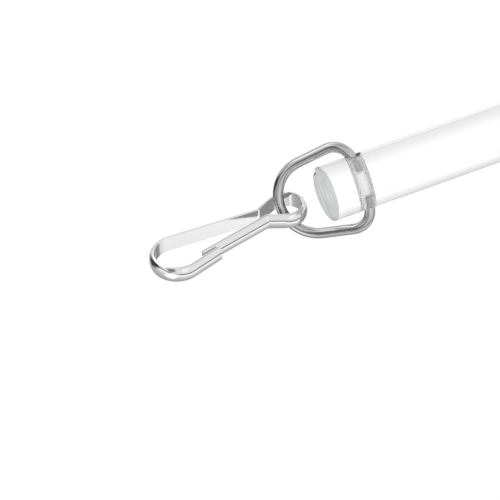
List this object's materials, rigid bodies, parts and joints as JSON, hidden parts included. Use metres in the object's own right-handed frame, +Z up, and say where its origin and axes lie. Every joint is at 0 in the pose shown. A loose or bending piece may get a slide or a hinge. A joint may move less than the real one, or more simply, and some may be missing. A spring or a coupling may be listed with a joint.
{
  "type": "curtain wand",
  "caption": "Clear round rod hung from a bent wire ring and a sprung snap hook, for drawing a curtain by hand.",
  "frame": {"origin": "point inside the snap hook's nose where it bears on the curtain's lead carrier, in the middle of the wire's width", "axes": "+Z up along the rod as it hangs; the hook's flat plane is XZ, with its gate towards +X"},
  "size_m": [0.0145, 0.0167, 0.5324],
  "materials": {
    "clear_acrylic": "clear cast acrylic, polished round the side, sawn and satin on the end face, frosted inside the drilled hole",
    "ring_steel": "bright drawn steel wire, a little dull",
    "hook_plating": "bright nickel plated spring steel"
  },
  "bodies": {
    "snap_hook": {"snap_hook": "hook_plating"},
    "ring": {"ring": "ring_steel"},
    "rod": {"rod": "clear_acrylic"}
  },
  "joints": [
    {"name": "ring_swing", "type": "hinge", "parent": "snap_hook", "child": "ring", "pos_m": [-0.00235, 0, -0.02635], "axis": [0, 1, 0], "range_deg": [-60, 110]},
    {"name": "rod_fold", "type": "hinge", "parent": "ring", "child": "rod", "pos_m": [0.00354, 0.00576, -0.03831], "axis": [-0.5284, 0.8457, 0.0748], "range_deg": [-120, 55]}
  ]
}
